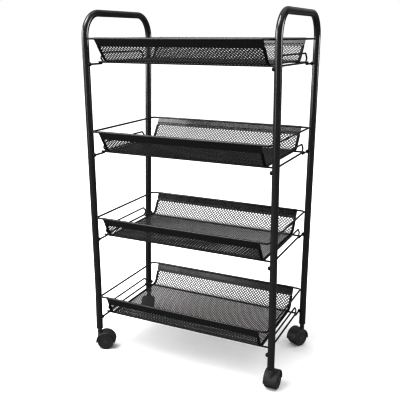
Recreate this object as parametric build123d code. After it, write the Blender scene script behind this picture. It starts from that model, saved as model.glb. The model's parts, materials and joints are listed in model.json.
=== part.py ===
from build123d import *
import os
from math import atan, hypot, tan

# Four-tier rolling cart: two bent-tube end frames, four wire-and-mesh baskets, four twin-wheel casters.
# Millimetres. X runs along the cart from end frame to end frame, the front is -Y, +Z is up.
# The origin is on the floor, under the middle of the cart.

# ---- driving dimensions: end frames ----
height = 850.0                  # floor to the top of the handles
frame_spacing = 464.0           # between the two end frames, axis to axis
tube_diameter = 16.0
tube_wall = 1.2
foot_half_depth = 127.5         # leg axis from the middle plane, in the upright bottom stretch
top_half_depth = 147.5          # leg axis from the middle plane, carried up to the handle
splay_start = 160.0             # height where the legs start to spread
splay_bend_radius = 400.0
handle_bend_radius = 55.0
leg_end = 52.0                  # height of the underside of the leg ends

# ---- driving dimensions: baskets ----
rim_heights = (784.0, 569.0, 355.0, 145.0)   # rim wire axis of basket 1 (top) to basket 4 (bottom)
wire_diameter = 4.0
rim_corner_radius = 8.0
tray_half_length = 202.0
tray_thickness = 1.0
tray_top_gap = 3.0              # rim wire axis to the top edge of the sheet, along the wall
floor_drop = 51.5               # rim wire axis to the middle of the floor sheet
floor_half_depth = 113.0        # where wall and floor planes meet
fold_radius = 18.0
band_thickness = 0.8
band_outer_depth = 21.0         # along the wall, from the rim wire axis
band_inner_depth = 14.0
trim_width = 6.0
trim_thickness = 0.7
trim_gap = 0.5                  # between the top of a trim and the lower edge of the band
rail_half_length = 224.5
end_wire_drop = 4.0             # how far the end wires step down to pass under the floor rails
end_wire_step_start = 92.0
end_wire_step_end = 97.5
end_wire_bend_radius = 3.0
guard_drop = 32.5               # rim wire axis to the guard wire's top bar
guard_half_length = 87.0
guard_knee_half_length = 100.0
guard_knee_drop = 45.0
guard_bend_radius = 4.0
guard_diameter = 3.6
guard_foot_half_length = 89.0
eyelet_diameter = 9.0
eyelet_thickness = 2.5
eyelet_offset = 0.2             # how far an end wire's axis sits inside the rim wire's
screw_diameter = 4.0
screw_length = 8.0
screw_head_diameter = 7.0
screw_head_height = 2.4
screw_head_round = 1.2
screw_slot_width = 1.0
screw_slot_depth = 1.0
hole_clearance = 0.2
cut_margin = 1.0                # how far a cutting solid runs past what it cuts

# ---- driving dimensions: casters ----
wheel_diameter = 42.0
wheel_width = 13.0
wheel_gap = 4.0                 # between the two wheels, where the web of the hood sits
wheel_cap = 1.5                 # closed outer end of each wheel's bore
wheel_edge_radius = 2.5
wheel_dish_depth = 1.2
wheel_rim_width = 4.5
wheel_hub_radius = 6.0
hood_outer_radius = 24.0
hood_inner_radius = 22.2
hood_width = 32.0
hood_edge_radius = 2.0
hood_skirt = 4.0                # how far the hood reaches below the axle
web_thickness = 2.8
web_radius = 19.5
trail = 16.0                    # swivel axis to axle
neck_diameter = 11.0
neck_top = 50.6
stem_diameter = 8.0
stem_bottom = 40.5
stem_top = 80.0
stem_end_gap = 0.5              # free space over the stem in its ferrule
stem_chamfer = 1.0
collar_diameter = 11.0
collar_top = 51.8
axle_diameter = 6.0
axle_end_gap = 0.2              # free space at each end of the axle
running_fit = 0.06              # radial clearance of a turning fit
swivel_angles = {               # trail direction of each caster, degrees from +X
    "front_left": 24.0,
    "front_right": 90.0,
    "back_left": -70.0,
    "back_right": -118.0,
}

# ---- driving dimensions: leg ferrules ----
ferrule_flange_height = 3.0
ferrule_flange_diameter = 15.6
ferrule_chamfer = 1.2
ferrule_length = 30.0

# ---- worked-out values ----
wire_radius = wire_diameter / 2
tube_radius = tube_diameter / 2
tube_bore_radius = tube_radius - tube_wall
frame_x = frame_spacing / 2
end_x = frame_x - tube_radius - wire_radius          # axis of a rim wire where it lies against the legs
lower_x = end_x - eyelet_offset                      # axis of the end wires and guard wires
handle_axis_z = height - tube_radius
tube_end = leg_end + ferrule_flange_height
axle_z = wheel_diameter / 2
rail_drop = floor_drop + tray_thickness / 2 + wire_radius
wheel_middle = (wheel_gap + wheel_width) / 2
wheel_bore_depth = wheel_width - wheel_cap
axle_length = wheel_gap + 2 * (wheel_bore_depth - axle_end_gap)


def leg_half_depth(z):
    """Distance of a leg's axis from the middle plane at height z."""
    rise = max(0.0, z - splay_start) / (handle_axis_z - splay_start)
    return foot_half_depth + (top_half_depth - foot_half_depth) * rise


def rim_half_depth(rim_z):
    return leg_half_depth(rim_z) + rim_corner_radius


def save(shape, name):
    shape.label = name
    export_step(shape, f"parts/{name}.step")


def group(solids, name):
    save(Compound(children=solids), name)


def standing(radius, bottom, top):
    """Upright cylinder on the Z axis between two heights."""
    return Pos(0, 0, (bottom + top) / 2) * Cylinder(radius, top - bottom)


def round_wire(path, start, direction, diameter=wire_diameter):
    """A round bar swept along a path."""
    section = Plane(origin=start, z_dir=direction) * Circle(diameter / 2)
    return sweep(section, path=path)


# ---------------------------------------------------------------- end frames
def end_frame(side):
    """One inverted U of tube: two legs and the handle, with the screw holes of every basket."""
    x = side * frame_x
    corners = [
        (x, -foot_half_depth, tube_end),
        (x, -foot_half_depth, splay_start),
        (x, -top_half_depth, handle_axis_z),
        (x, top_half_depth, handle_axis_z),
        (x, foot_half_depth, splay_start),
        (x, foot_half_depth, tube_end),
    ]
    radii = [splay_bend_radius, handle_bend_radius, handle_bend_radius, splay_bend_radius]
    path = FilletPolyline(*corners, radius=radii)
    tube = round_wire(path, corners[0], (0, 0, 1), tube_diameter)
    bore = round_wire(path, corners[0], (0, 0, 1), 2 * tube_bore_radius)
    frame = tube - bore
    hole_depth = 2 * (tube_wall + cut_margin)
    for rim_z in rim_heights:
        z = rim_z - rail_drop - end_wire_drop
        for front in (-1, 1):
            centre = (side * (frame_x - tube_radius), front * leg_half_depth(z), z)
            hole = Plane(origin=centre, z_dir=(side, 0, 0)) * Cylinder(screw_diameter / 2, hole_depth)
            frame -= hole
    return frame


def ferrule():
    """Plastic insert pressed into a leg end, bored for the caster stem; stands on the swivel axis."""
    flange = standing(ferrule_flange_diameter / 2, leg_end, tube_end)
    flange = chamfer(flange.edges().group_by(Axis.Z)[0], ferrule_chamfer)
    plug = standing(tube_bore_radius, leg_end, tube_end + ferrule_length)
    plug = chamfer(plug.edges().group_by(Axis.Z)[-1], ferrule_chamfer)
    bore = standing(stem_diameter / 2 + running_fit, leg_end, stem_top + stem_end_gap)
    return flange + plug - bore


# ---------------------------------------------------------------- baskets
def wall_down(rim_z):
    """Unit direction down the back wall of a tray, as (y, z)."""
    run = floor_half_depth - rim_half_depth(rim_z)
    length = hypot(run, floor_drop)
    return run / length, -floor_drop / length


def rim_wire(rim_z):
    """Closed loop of wire round the top of a basket, bearing on the inner faces of the legs."""
    y = rim_half_depth(rim_z)
    corners = [(-end_x, -y, rim_z), (end_x, -y, rim_z), (end_x, y, rim_z), (-end_x, y, rim_z)]
    path = FilletPolyline(*corners, radius=rim_corner_radius, close=True)
    return round_wire(path, (0, -y, rim_z), (1, 0, 0))


def tray_line(rim_z, top_gap, outward):
    """Line through the tray's section, front to back, offset outward from the middle of the sheet."""
    down_y, down_z = wall_down(rim_z)
    top_y = rim_half_depth(rim_z) + down_y * top_gap - down_z * outward
    top_z = down_z * top_gap + down_y * outward
    fold_y = floor_half_depth - outward * (1 + down_y) / down_z
    fold_z = -floor_drop - outward
    corners = [(-top_y, top_z), (-fold_y, fold_z), (fold_y, fold_z), (top_y, top_z)]
    return FilletPolyline(*corners, radius=fold_radius + outward)


def sheet(rim_z, top_gap, thickness, x_start, x_end):
    """Folded sheet centred on the tray's section line, between two stations along the cart."""
    outer = tray_line(rim_z, top_gap, thickness / 2)
    inner = tray_line(rim_z, top_gap, -thickness / 2)
    outline = [outer, inner, Line(outer @ 0, inner @ 0), Line(outer @ 1, inner @ 1)]
    section = make_face(Curve() + outline)
    return Pos(x_start, 0, rim_z) * extrude(Plane.YZ * section, amount=x_end - x_start)


def mesh_tray(rim_z):
    """Floor and two leaning walls folded from one sheet of mesh; the ends are open."""
    return sheet(rim_z, tray_top_gap, tray_thickness, -tray_half_length, tray_half_length)


def rim_band(rim_z):
    """Steel strip folded over the rim wire and over the top edge of the back wall."""
    down_y, down_z = wall_down(rim_z)
    leg = tray_thickness / 2 + band_thickness
    outer_leg = Pos(band_outer_depth / 2, leg / 2) * Rectangle(band_outer_depth, leg)
    inner_leg = Pos(band_inner_depth / 2, -leg / 2) * Rectangle(band_inner_depth, leg)
    slot = Pos(band_outer_depth, 0) * Rectangle(2 * band_outer_depth, tray_thickness)
    section = Circle(wire_radius + band_thickness) + outer_leg + inner_leg - Circle(wire_radius) - slot
    wall = Plane(origin=(0, rim_half_depth(rim_z), rim_z), x_dir=(0, down_y, down_z), z_dir=(1, 0, 0))
    return extrude(wall * section, amount=tray_half_length, both=True)


def floor_rail(rim_z):
    """Long straight wire under the back fold of a tray, reaching over both end wires."""
    down_y, down_z = wall_down(rim_z)
    fold_angle = atan(-down_z / -down_y)
    y = floor_half_depth - fold_radius * tan(fold_angle / 2)
    return Pos(0, y, rim_z - rail_drop) * Rot(0, 90, 0) * Cylinder(wire_radius, 2 * rail_half_length)


def edge_trim(rim_z):
    """Thin channel folded over the right-hand raw end of a tray, between the two rim bands."""
    x_end = tray_half_length + trim_thickness
    x_start = x_end - trim_width
    cover = sheet(rim_z, band_outer_depth + trim_gap, tray_thickness + 2 * trim_thickness, x_start, x_end)
    rail = floor_rail(rim_z)
    strip = cover - sheet(rim_z, tray_top_gap, tray_thickness, x_start, tray_half_length)
    return strip - rail - mirror(rail, about=Plane.XZ)


def screw_place(rim_z):
    """Height and half-depth of the screws that hold a basket's end wires to the legs."""
    z = rim_z - rail_drop - end_wire_drop
    return z, leg_half_depth(z)


def end_wire(rim_z):
    """Wire across the right-hand end, from leg to leg, with a flattened eyelet at each leg."""
    high = rim_z - rail_drop
    low, leg_y = screw_place(rim_z)
    wire_end = leg_y - screw_head_diameter / 2 - hole_clearance
    front_half = [(-wire_end, low), (-end_wire_step_end, low), (-end_wire_step_start, high)]
    points = front_half + [(-y, z) for y, z in reversed(front_half)]
    path = FilletPolyline(*[(lower_x, y, z) for y, z in points], radius=end_wire_bend_radius)
    wire = round_wire(path, (lower_x, -wire_end, low), (0, 1, 0))
    eyelet_x = frame_x - tube_radius - eyelet_thickness / 2
    for y in (-leg_y, leg_y):
        place = Pos(eyelet_x, y, low) * Rot(0, 90, 0)
        wire += place * Cylinder(eyelet_diameter / 2, eyelet_thickness)
        wire -= place * Cylinder(screw_diameter / 2 + hole_clearance, 2 * eyelet_thickness)
    return wire


def guard_wire(rim_z):
    """Bent wire standing on the right-hand end wire and closing the open end of the tray."""
    foot = (guard_foot_half_length, rim_z - rail_drop)
    knee = (guard_knee_half_length, rim_z - guard_knee_drop)
    shoulder = (guard_half_length, rim_z - guard_drop)
    back_half = [shoulder, knee, foot]
    points = [(-y, z) for y, z in reversed(back_half)] + back_half
    path = FilletPolyline(*[(lower_x, y, z) for y, z in points], radius=guard_bend_radius)
    start = Vector(lower_x, *points[0])
    wire = round_wire(path, start, Vector(lower_x, *points[1]) - start, guard_diameter)
    return wire - end_wire(rim_z)


def screw(rim_z, y_sign):
    """Pan-head screw through a right-hand eyelet into the leg behind it."""
    z, leg_y = screw_place(rim_z)
    head = standing(screw_head_diameter / 2, -screw_head_height, 0)
    head = fillet(head.edges().group_by(Axis.Z)[0], screw_head_round)
    slot_z = -screw_head_height + screw_slot_depth / 2
    slot = Pos(0, 0, slot_z) * Box(screw_slot_width, screw_head_diameter + cut_margin, screw_slot_depth)
    shank = standing(screw_diameter / 2, -screw_head_height / 2, screw_length)
    x = frame_x - tube_radius - eyelet_thickness
    return Pos(x, y_sign * leg_y, z) * Rot(0, 90, 0) * (head + shank - slot)


def both_ends(make, *args):
    """A right-hand piece and its mirror image at the left-hand end."""
    piece = make(*args)
    return [piece, mirror(piece, about=Plane.YZ)]


def front_and_back(make, *args):
    """A back piece and its mirror image at the front."""
    piece = make(*args)
    return [piece, mirror(piece, about=Plane.XZ)]


def build_basket(number, rim_z):
    name = f"basket_{number}"
    save(rim_wire(rim_z), f"{name}_rim_wire")
    save(mesh_tray(rim_z), f"{name}_mesh_tray")
    group(front_and_back(rim_band, rim_z), f"{name}_rim_bands")
    group(both_ends(edge_trim, rim_z), f"{name}_edge_trims")
    group(front_and_back(floor_rail, rim_z), f"{name}_floor_rails")
    group(both_ends(end_wire, rim_z), f"{name}_end_wires")
    group(both_ends(guard_wire, rim_z), f"{name}_guard_wires")
    group(both_ends(screw, rim_z, -1) + both_ends(screw, rim_z, 1), f"{name}_screws")


# ---------------------------------------------------------------- casters
# Each piece is drawn with the swivel axis on Z and the wheels trailing towards +X.
def across(radius, width):
    """Cylinder round the axle's axis, centred between the wheels."""
    return Pos(trail, 0, axle_z) * Rot(90, 0, 0) * Cylinder(radius, width)


def caster_stem():
    """Steel pin that turns in the ferrule, with a collar resting on the hood's neck."""
    pin = standing(stem_diameter / 2, stem_bottom, stem_top)
    pin = chamfer(pin.edges().group_by(Axis.Z)[-1], stem_chamfer)
    return pin + standing(collar_diameter / 2, neck_top, collar_top)


def caster_hood():
    """Arched cover over both wheels, with the neck for the stem and the web that carries the axle."""
    outer = across(hood_outer_radius, hood_width)
    outer = fillet(outer.edges(), hood_edge_radius)
    room = across(hood_inner_radius, hood_width + cut_margin)
    below = Pos(trail, 0, axle_z - hood_skirt - hood_outer_radius) * Box(
        3 * hood_outer_radius, 2 * hood_width, 2 * hood_outer_radius
    )
    arch = outer - room - below
    neck = standing(neck_diameter / 2, axle_z, neck_top) - room
    web = across(hood_inner_radius, web_thickness) - below + across(web_radius, web_thickness)
    hood = arch + neck + web
    return hood - standing(stem_diameter / 2, stem_bottom, height) - across(axle_diameter / 2, hood_width)


def wheel(side):
    """One wheel of the pair: a disc with a shallow dish in its outer face and a blind bore for the axle."""
    radius = wheel_diameter / 2
    tyre = across(radius, wheel_width)
    tyre = fillet(tyre.edges(), wheel_edge_radius)
    dish = across(radius - wheel_rim_width, wheel_width) - across(wheel_hub_radius, wheel_width)
    dish = Pos(0, side * (wheel_width - wheel_dish_depth), 0) * dish
    bore = Pos(0, -side * wheel_cap, 0) * across(axle_diameter / 2 + running_fit, wheel_width)
    return Pos(0, side * wheel_middle, 0) * (tyre - dish - bore)


def build_caster(corner):
    left_right = -1 if corner.endswith("left") else 1
    front_back = -1 if corner.startswith("front") else 1
    foot = Pos(left_right * frame_x, front_back * foot_half_depth, 0)
    place = foot * Rot(0, 0, swivel_angles[corner])
    save(foot * ferrule(), f"{corner}_ferrule")
    save(place * caster_stem(), f"{corner}_caster_stem")
    save(place * caster_hood(), f"{corner}_caster_hood")
    save(place * across(axle_diameter / 2, axle_length), f"{corner}_caster_axle")
    save(place * wheel(1), f"{corner}_caster_wheel_left")
    save(place * wheel(-1), f"{corner}_caster_wheel_right")


# ---------------------------------------------------------------- build
os.makedirs("parts", exist_ok=True)
save(end_frame(-1), "side_frame_left")
save(end_frame(1), "side_frame_right")
for index, rim_height in enumerate(rim_heights):
    build_basket(index + 1, rim_height)
for corner_name in swivel_angles:
    build_caster(corner_name)
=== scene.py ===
import bmesh
import bpy
import json
import math
import numpy as np
from mathutils import Matrix, Vector


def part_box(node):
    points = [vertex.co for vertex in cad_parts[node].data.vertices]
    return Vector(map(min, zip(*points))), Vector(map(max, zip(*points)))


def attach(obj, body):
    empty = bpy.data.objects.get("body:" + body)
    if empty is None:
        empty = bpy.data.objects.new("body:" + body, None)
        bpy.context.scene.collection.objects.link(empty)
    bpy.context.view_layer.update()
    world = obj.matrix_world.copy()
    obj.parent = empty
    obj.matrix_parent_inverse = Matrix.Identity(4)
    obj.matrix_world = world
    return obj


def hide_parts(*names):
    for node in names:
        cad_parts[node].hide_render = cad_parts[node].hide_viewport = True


# Four-tier rolling cart in black: gloss tube, satin wire, diamond-mesh trays, moulded casters.
# Metres. +X runs from the left end frame to the right one, the front is -Y, +Z is up.

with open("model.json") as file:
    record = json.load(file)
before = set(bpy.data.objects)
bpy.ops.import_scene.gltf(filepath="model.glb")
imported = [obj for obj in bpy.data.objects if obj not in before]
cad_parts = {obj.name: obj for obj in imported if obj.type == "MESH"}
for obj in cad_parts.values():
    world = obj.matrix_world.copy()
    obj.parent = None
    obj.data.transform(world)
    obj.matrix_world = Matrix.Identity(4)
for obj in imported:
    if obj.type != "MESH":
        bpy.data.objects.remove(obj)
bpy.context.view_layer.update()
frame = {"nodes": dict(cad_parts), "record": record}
cad = frame["nodes"]
scene = bpy.context.scene
scene.view_settings.view_transform = "Standard"
scene.view_settings.gamma = 0.74                # deepens the half-tones of thin dark wire on white
scene.cycles.filter_width = 1.25                # pixels; a little sharper than Blender's default of 1.5

MM = 0.001
BASKETS = (1, 2, 3, 4)


# ------------------------------------------------------------------ helpers
def link(obj):
    scene.collection.objects.link(obj)
    return obj


def mesh_object(name, points, faces):
    mesh = bpy.data.meshes.new(name)
    mesh.from_pydata([tuple(p) for p in points], [], [tuple(f) for f in faces])
    mesh.validate()
    mesh.update()
    return link(bpy.data.objects.new(name, mesh))


# ------------------------------------------------------------------ materials
class Nodes:
    """Short calls for building one node material round a Principled shader."""

    def __init__(self, name):
        self.material = bpy.data.materials.new(name)
        self.material.use_nodes = True
        self.tree = self.material.node_tree
        self.shader = self.tree.nodes["Principled BSDF"]
        self.coords = self.add("ShaderNodeTexCoord").outputs["Object"]

    def add(self, kind, **settings):
        node = self.tree.nodes.new(kind)
        for key, value in settings.items():
            setattr(node, key, value)
        return node

    def link(self, source, target):
        self.tree.links.new(source, target)

    def set(self, **sockets):
        for key, value in sockets.items():
            self.shader.inputs[key.replace("_", " ")].default_value = value

    def noise(self, scale, detail, stretch=(1, 1, 1)):
        place = self.add("ShaderNodeMapping")
        place.inputs["Scale"].default_value = stretch
        self.link(self.coords, place.inputs["Vector"])
        texture = self.add("ShaderNodeTexNoise")
        texture.inputs["Scale"].default_value = scale
        texture.inputs["Detail"].default_value = detail
        texture.inputs["Roughness"].default_value = 0.55
        self.link(place.outputs["Vector"], texture.inputs["Vector"])
        return texture.outputs["Fac"]

    def span(self, value, low, high, to_low, to_high):
        """Maps value from low..high to to_low..to_high, held inside it."""
        node = self.add("ShaderNodeMapRange")
        for key, number in (("From Min", low), ("From Max", high), ("To Min", to_low), ("To Max", to_high)):
            node.inputs[key].default_value = number
        self.link(value, node.inputs["Value"])
        return node.outputs["Result"]

    def maths(self, operation, a, b):
        node = self.add("ShaderNodeMath", operation=operation)
        for socket, value in zip(node.inputs, (a, b)):
            if isinstance(value, (int, float)):
                socket.default_value = value
            else:
                self.link(value, socket)
        return node.outputs[0]

    def mix(self, factor, a, b):
        node = self.add("ShaderNodeMix", data_type="RGBA")
        self.link(factor, node.inputs["Factor"])
        for socket, value in ((node.inputs["A"], a), (node.inputs["B"], b)):
            if isinstance(value, tuple):
                socket.default_value = (*value, 1.0)
            else:
                self.link(value, socket)
        return node.outputs["Result"]

    def colour(self, source):
        self.link(source, self.shader.inputs["Base Color"])

    def roughness(self, source):
        self.link(source, self.shader.inputs["Roughness"])

    def bump(self, height, distance):
        node = self.add("ShaderNodeBump")
        node.inputs["Strength"].default_value = 1.0
        node.inputs["Distance"].default_value = distance
        self.link(height, node.inputs["Height"])
        self.link(node.outputs["Normal"], self.shader.inputs["Normal"])

    def worn_edges(self):
        """1 on sharp outer edges and 0 elsewhere, broken up by noise."""
        point = self.add("ShaderNodeNewGeometry").outputs["Pointiness"]
        edge = self.span(point, 0.52, 0.60, 0.0, 1.0)
        return self.maths("MULTIPLY", edge, self.span(self.noise(220, 4), 0.45, 0.7, 0.0, 1.0))


def paint(name, dark, light, gloss, rough_spread, peel, shine=0.45, coat=0.0):
    """Black powder paint: slow tone drift, fine orange peel, roughness that wanders."""
    n = Nodes(name)
    drift = n.span(n.noise(14, 4), 0.3, 0.7, 0.0, 1.0)
    fine = n.span(n.noise(900, 2), 0.3, 0.7, 0.0, 1.0)
    tone = n.mix(n.maths("ADD", n.maths("MULTIPLY", drift, 0.7), n.maths("MULTIPLY", fine, 0.3)), dark, light)
    n.colour(tone)
    n.roughness(n.span(n.noise(60, 5), 0.3, 0.7, gloss, gloss + rough_spread))
    n.bump(n.maths("ADD", n.noise(650, 2), n.maths("MULTIPLY", n.noise(160, 2), 0.6)), peel)
    n.set(Coat_Weight=coat, Coat_Roughness=0.12, Specular_IOR_Level=shine)
    return n.material


def moulded(name, dark, light, gloss, grain):
    """Black moulded nylon: fine spark-eroded grain with paler scuffed edges."""
    n = Nodes(name)
    drift = n.span(n.noise(45, 4), 0.3, 0.7, 0.0, 1.0)
    tone = n.mix(drift, dark, light)
    scuffed = tuple(3.2 * c for c in light)
    n.colour(n.mix(n.worn_edges(), tone, scuffed))
    n.roughness(n.span(n.noise(120, 4), 0.3, 0.7, gloss, gloss + 0.14))
    n.bump(n.noise(1500, 3), grain)
    n.set(Specular_IOR_Level=0.4)
    return n.material


def plated_steel(name):
    """Bright zinc plate with faint drawing marks."""
    n = Nodes(name)
    streaks = n.noise(300, 3, stretch=(1, 1, 0.05))
    n.colour(n.mix(streaks, (0.52, 0.52, 0.53), (0.72, 0.72, 0.71)))
    n.roughness(n.span(streaks, 0.3, 0.7, 0.22, 0.38))
    n.bump(streaks, 0.00001)
    n.set(Metallic=1.0)
    return n.material


# paint: dark and light tone, lowest roughness, its spread, orange peel in metres, specular level, coat
TUBE = ((0.024, 0.024, 0.025), (0.036, 0.036, 0.038), 0.16, 0.07, 0.00001, 0.6, 0.3)
WIRE = ((0.010, 0.010, 0.011), (0.018, 0.018, 0.019), 0.26, 0.12, 0.00001)
MESH = ((0.030, 0.030, 0.032), (0.052, 0.052, 0.056), 0.30, 0.12, 0.00001, 0.9)
BAND = ((0.010, 0.010, 0.011), (0.016, 0.016, 0.018), 0.22, 0.10, 0.00001, 0.7)
SCREW = ((0.010, 0.010, 0.010), (0.024, 0.024, 0.024), 0.34, 0.12, 0.00002)
TRIM = ((0.007, 0.007, 0.008), (0.011, 0.011, 0.012), 0.50, 0.10, 0.00001, 0.25)
# moulded plastic: dark and light tone, lowest roughness, grain in metres
FERRULE = ((0.020, 0.020, 0.020), (0.032, 0.032, 0.032), 0.46, 0.00003)
HOOD = ((0.040, 0.040, 0.041), (0.060, 0.060, 0.062), 0.44, 0.00004)
WHEEL = ((0.044, 0.044, 0.045), (0.068, 0.068, 0.070), 0.50, 0.00005)

MATERIALS = {
    "tube_black": paint("tube_paint", *TUBE),
    "wire_black": paint("wire_paint", *WIRE),
    "mesh_black": paint("mesh_paint", *MESH),
    "band_black": paint("band_paint", *BAND),
    "screw_black": paint("screw_coating", *SCREW),
    "plastic_black": moulded("ferrule_plastic", *FERRULE),
    "plastic_dark": moulded("hood_plastic", *HOOD),
    "wheel_plastic": moulded("wheel_nylon", *WHEEL),
    "stem_steel": plated_steel("stem_plate"),
}
TRIM_FINISH = paint("trim_paint", *TRIM)    # duller than the bands, whose slot the trims share


def finish_piece(obj, slot, body):
    """Material, slot and body of a new piece."""
    obj.data.materials.clear()
    obj.data.materials.append(MATERIALS[slot])
    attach(obj, body)
    return obj


def paint_cad_nodes():
    for entry in frame["record"]["subparts"]:
        obj = cad[entry["node"]]
        trim = entry["node"].endswith("_edge_trims")
        obj.data.materials.clear()
        obj.data.materials.append(TRIM_FINISH if trim else MATERIALS[entry["material_slot"]])


# ------------------------------------------------------------------ trays
FLOOR_DROP = 51.5 * MM          # rim wire axis to the middle of the floor sheet
FLOOR_HALF_DEPTH = 113 * MM     # where wall and floor planes meet
FOLD_RADIUS = 18 * MM
TOP_GAP = 3 * MM                # rim wire axis to the top edge of the mesh, along the wall
WIRE_RADIUS = 2 * MM
DIAMOND_LENGTH = 7.9 * MM       # along the cart
DIAMOND_WIDTH = 8.3 * MM        # across it
STRAND_WIDTH = 1.8 * MM
STRAND_THICKNESS = 1.6 * MM     # at the ridge along a strand's middle
STRAND_EDGE = 1.15 * MM         # at the strand's edges, round a hole
STRAND_WANDER = 0.12 * MM       # how unevenly the holes are spaced
STRAND_TWIST = 0.15 * MM        # how far the bonds tip out of the sheet


def tray_section(number):
    """The tray's middle line: its full length, and a function of arc length from the front top edge.

    The function takes an array of arc lengths and gives y, z and the outward normal's y, z."""
    low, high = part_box(f"basket_{number}_rim_wire")
    rim_z = (low.z + high.z) / 2
    run = high.y - WIRE_RADIUS - FLOOR_HALF_DEPTH
    fold = math.atan2(FLOOR_DROP, run)              # angle that the sheet turns through at a fold
    tangent = FOLD_RADIUS * math.tan(fold / 2)
    wall = math.hypot(run, FLOOR_DROP) - TOP_GAP - tangent
    arc = FOLD_RADIUS * fold
    flat_y = FLOOR_HALF_DEPTH - tangent
    half_length = wall + arc + flat_y

    def at(s):
        along = np.asarray(s) - half_length
        side = np.where(along < 0, -1.0, 1.0)
        along = np.abs(along)
        turn = np.clip((along - flat_y) / FOLD_RADIUS, 0, fold)
        rise = np.clip(along - flat_y - arc, 0, None)
        y = np.minimum(along, flat_y) + FOLD_RADIUS * np.sin(turn) + rise * math.cos(fold)
        z = rim_z - FLOOR_DROP + FOLD_RADIUS * (1 - np.cos(turn)) + rise * math.sin(fold)
        return side * y, z, side * np.sin(turn), -np.cos(turn)

    return 2 * half_length, at


def flat_lattice(length, width):
    """A flat sheet of expanded mesh, length by width, before folding: points (along, across, up) and faces.

    Each hole is a diamond, and each strand between two holes has a ridge along its middle on both sides."""
    rows = 2 * round(width / DIAMOND_WIDTH)
    columns = round(length / DIAMOND_LENGTH)
    reach_x, reach_s = length / columns / 2, width / rows
    diagonal = math.hypot(reach_x, reach_s)
    hole_x = reach_x - STRAND_WIDTH / 2 * diagonal / reach_s
    hole_s = reach_s - STRAND_WIDTH / 2 * diagonal / reach_x
    outline = ((hole_x, 0, 0), (0, hole_s, STRAND_TWIST), (-hole_x, 0, 0), (0, -hole_s, -STRAND_TWIST))
    around = ((1, 0), (0, 1), (-1, 0), (0, -1))
    random = np.random.default_rng(7)
    points, faces, joins = [], [], {}

    def add(x, s, up):
        points.append((x, s, up))
        return len(points) - 1

    def join(place, row, layer):
        """The ridge point where strands meet, made once for all the holes round it."""
        if (place, row, layer) not in joins:
            joins[place, row, layer] = add(place * reach_x, row * reach_s, layer * STRAND_THICKNESS / 2)
        return joins[place, row, layer]

    for row in range(-1, rows + 2):
        for place in range(-2 + row % 2, 2 * columns + 3, 2):
            shift_x, shift_s = random.uniform(-STRAND_WANDER, STRAND_WANDER, 2)
            rims = []
            for layer in (-1, 1):
                rim = []
                for dx, ds, dt in outline:
                    up = dt + layer * STRAND_EDGE / 2
                    rim.append(add(place * reach_x + dx + shift_x, row * reach_s + ds + shift_s, up))
                rims.append(rim)
                ridge = [join(place + across, row + along, layer) for across, along in around]
                for i in range(4):
                    j = (i + 1) % 4
                    quad = (rim[i], rim[j], ridge[j], ridge[i])
                    faces.append(quad if layer < 0 else quad[::-1])
            for i in range(4):
                j = (i + 1) % 4
                faces.append((rims[0][j], rims[0][i], rims[1][i], rims[1][j]))
    return trim_sheet(points, faces, length, width)


def trim_sheet(points, faces, length, width):
    """Cuts the lattice to its rectangle and closes the cut ends of the strands."""
    mesh = bpy.data.meshes.new("lattice_blank")
    mesh.from_pydata(points, [], faces)
    work = bmesh.new()
    work.from_mesh(mesh)
    cuts = (
        ((0, 0, 0), (-1, 0, 0)), ((length, 0, 0), (1, 0, 0)),
        ((0, 0, 0), (0, -1, 0)), ((0, width, 0), (0, 1, 0)),
    )
    for place, outward in cuts:
        everything = work.verts[:] + work.edges[:] + work.faces[:]
        cut = bmesh.ops.bisect_plane(
            work, geom=everything, dist=1e-7, plane_co=place, plane_no=outward, clear_outer=True
        )
        edges = [e for e in cut["geom_cut"] if isinstance(e, bmesh.types.BMEdge) and e.is_boundary]
        bmesh.ops.holes_fill(work, edges=edges, sides=0)
    bmesh.ops.recalc_face_normals(work, faces=work.faces[:])
    work.to_mesh(mesh)
    work.free()
    kept = np.array([v.co for v in mesh.vertices])
    loops = [tuple(p.vertices) for p in mesh.polygons]
    bpy.data.meshes.remove(mesh)
    return kept, loops


def diamond_mesh(number, points, faces, width):
    """One tray's mesh: the flat lattice stretched to the tray's own width and folded to its section."""
    low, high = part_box(f"basket_{number}_mesh_tray")
    full, at = tray_section(number)
    y, z, normal_y, normal_z = at(points[:, 1] * full / width)
    up = points[:, 2]
    folded = np.column_stack([low.x + points[:, 0], y - normal_y * up, z - normal_z * up])
    obj = mesh_object(f"basket_{number}_diamond_mesh", folded, faces)
    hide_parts(f"basket_{number}_mesh_tray")
    return finish_piece(obj, "mesh_black", "cart")


def trays():
    low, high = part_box("basket_2_mesh_tray")
    width, _ = tray_section(2)
    points, faces = flat_lattice(high.x - low.x, width)
    for number in BASKETS:
        diamond_mesh(number, points, faces, width)


# ------------------------------------------------------------------ stage
FLOOR_SIZE = 30.0
FLOOR_SEEN, FLOOR_BOUNCED = 1.0, 0.14          # how pale the floor is to the eye, and as a reflector
SKY_SEEN, SKY_DIFFUSE = 1.0, 1.2
ROOM_GLOSS = 0.06               # what gloss reflects between the panels
GLOSS_PANELS = (                # azimuth from +X, elevation, reach and fade in degrees, strength
    (-160, 5, 16, 12, 8.0),     # white wall on the left
    (20, 5, 14, 12, 8.0),       # white wall on the right
    (115, 30, 25, 30, 0.35),    # backdrop
    (0, 90, 20, 30, 0.6),       # ceiling
)


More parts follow.
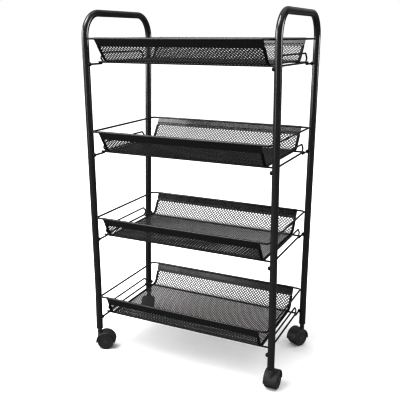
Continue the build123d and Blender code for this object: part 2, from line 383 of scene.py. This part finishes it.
def floor():
    material = bpy.data.materials.new("floor_white")
    material.use_nodes = True
    tree = material.node_tree
    tree.nodes.clear()
    out = tree.nodes.new("ShaderNodeOutputMaterial")
    mix = tree.nodes.new("ShaderNodeMixShader")
    path = tree.nodes.new("ShaderNodeLightPath")
    tree.links.new(path.outputs["Is Camera Ray"], mix.inputs["Fac"])
    for slot, grey in ((1, FLOOR_BOUNCED), (2, FLOOR_SEEN)):
        matt = tree.nodes.new("ShaderNodeBsdfDiffuse")
        matt.inputs["Color"].default_value = (grey, grey, grey, 1)
        tree.links.new(matt.outputs[0], mix.inputs[slot])
    tree.links.new(mix.outputs[0], out.inputs["Surface"])
    half = FLOOR_SIZE / 2
    points = [(-half, -half, 0), (half, -half, 0), (half, half, 0), (-half, half, 0)]
    obj = mesh_object("studio_floor", points, [(0, 1, 2, 3)])
    obj.data.materials.append(material)


def sky():
    """White to the eye and as fill light; gloss sees a dim room with a few white panels."""
    world = bpy.data.worlds.new("studio")
    scene.world = world
    world.use_nodes = True
    tree = world.node_tree
    tree.nodes.clear()
    out = tree.nodes.new("ShaderNodeOutputWorld")
    path = tree.nodes.new("ShaderNodeLightPath")
    coords = tree.nodes.new("ShaderNodeTexCoord")
    gloss = None
    for azimuth, elevation, reach, fade, strength in GLOSS_PANELS:
        a, e = math.radians(azimuth), math.radians(elevation)
        aim = tree.nodes.new("ShaderNodeVectorMath")
        aim.operation = "DOT_PRODUCT"
        aim.inputs[1].default_value = (math.cos(a) * math.cos(e), math.sin(a) * math.cos(e), math.sin(e))
        tree.links.new(coords.outputs["Generated"], aim.inputs[0])
        panel = tree.nodes.new("ShaderNodeMapRange")
        panel.interpolation_type = "SMOOTHSTEP"
        edges = (math.cos(math.radians(reach + fade)), math.cos(math.radians(reach)), 0.0, strength)
        for key, value in zip(("From Min", "From Max", "To Min", "To Max"), edges):
            panel.inputs[key].default_value = value
        tree.links.new(aim.outputs["Value"], panel.inputs["Value"])
        total = tree.nodes.new("ShaderNodeMath")
        total.operation = "ADD"
        total.inputs[0].default_value = ROOM_GLOSS
        if gloss:
            tree.links.new(gloss, total.inputs[0])
        tree.links.new(panel.outputs["Result"], total.inputs[1])
        gloss = total.outputs[0]
    backgrounds = []
    for strength in (SKY_DIFFUSE, gloss, SKY_SEEN):
        node = tree.nodes.new("ShaderNodeBackground")
        node.inputs["Color"].default_value = (1, 1, 1, 1)
        if isinstance(strength, float):
            node.inputs["Strength"].default_value = strength
        else:
            tree.links.new(strength, node.inputs["Strength"])
        backgrounds.append(node.outputs[0])
    shader = backgrounds[0]
    for ray, background in (("Is Glossy Ray", backgrounds[1]), ("Is Camera Ray", backgrounds[2])):
        mix = tree.nodes.new("ShaderNodeMixShader")
        tree.links.new(path.outputs[ray], mix.inputs["Fac"])
        tree.links.new(shader, mix.inputs[1])
        tree.links.new(background, mix.inputs[2])
        shader = mix.outputs[0]
    tree.links.new(shader, out.inputs["Surface"])


def area_light(name, place, target, width, height, power):
    data = bpy.data.lights.new(name, "AREA")
    data.shape = "RECTANGLE"
    data.size, data.size_y = width, height
    data.energy = power
    obj = link(bpy.data.objects.new(name, data))
    obj.location = place
    obj.rotation_euler = (Vector(target) - Vector(place)).to_track_quat("-Z", "Y").to_euler()
    obj.visible_camera = False


def lights():
    """One large softbox overhead and one in front on the left, both aimed at the cart's middle."""
    middle = (0, 0, 0.42)
    area_light("top_softbox", (-0.9, -0.8, 2.6), middle, 1.6, 1.3, 64)
    area_light("front_softbox", (-1.3, -2.3, 0.9), middle, 0.7, 1.9, 20)


# ------------------------------------------------------------------ camera
CAMERA_PLACE = (0.6209, -1.3395, 0.7932)
CAMERA_YAW, CAMERA_PITCH, CAMERA_ROLL = 25.9, -13.1, 0.09     # degrees; yaw is measured from +Y
CAMERA_LENS = 55.3             # mm on a sensor 36 mm wide
CAMERA_SHIFT = (0.0203, -0.056)


def camera():
    data = bpy.data.cameras.new("camera")
    data.sensor_width = 36
    data.lens = CAMERA_LENS
    data.shift_x, data.shift_y = CAMERA_SHIFT
    data.clip_start, data.clip_end = 0.05, 60
    obj = link(bpy.data.objects.new("camera", data))
    yaw, pitch, roll = (math.radians(a) for a in (CAMERA_YAW, CAMERA_PITCH, CAMERA_ROLL))
    tilt = Matrix.Rotation(math.pi / 2 + pitch, 4, "X") @ Matrix.Rotation(roll, 4, "Z")
    obj.matrix_world = Matrix.Translation(CAMERA_PLACE) @ Matrix.Rotation(yaw, 4, "Z") @ tilt
    scene.camera = obj


# ------------------------------------------------------------------ build
camera()
floor()
sky()
lights()
paint_cad_nodes()
trays()
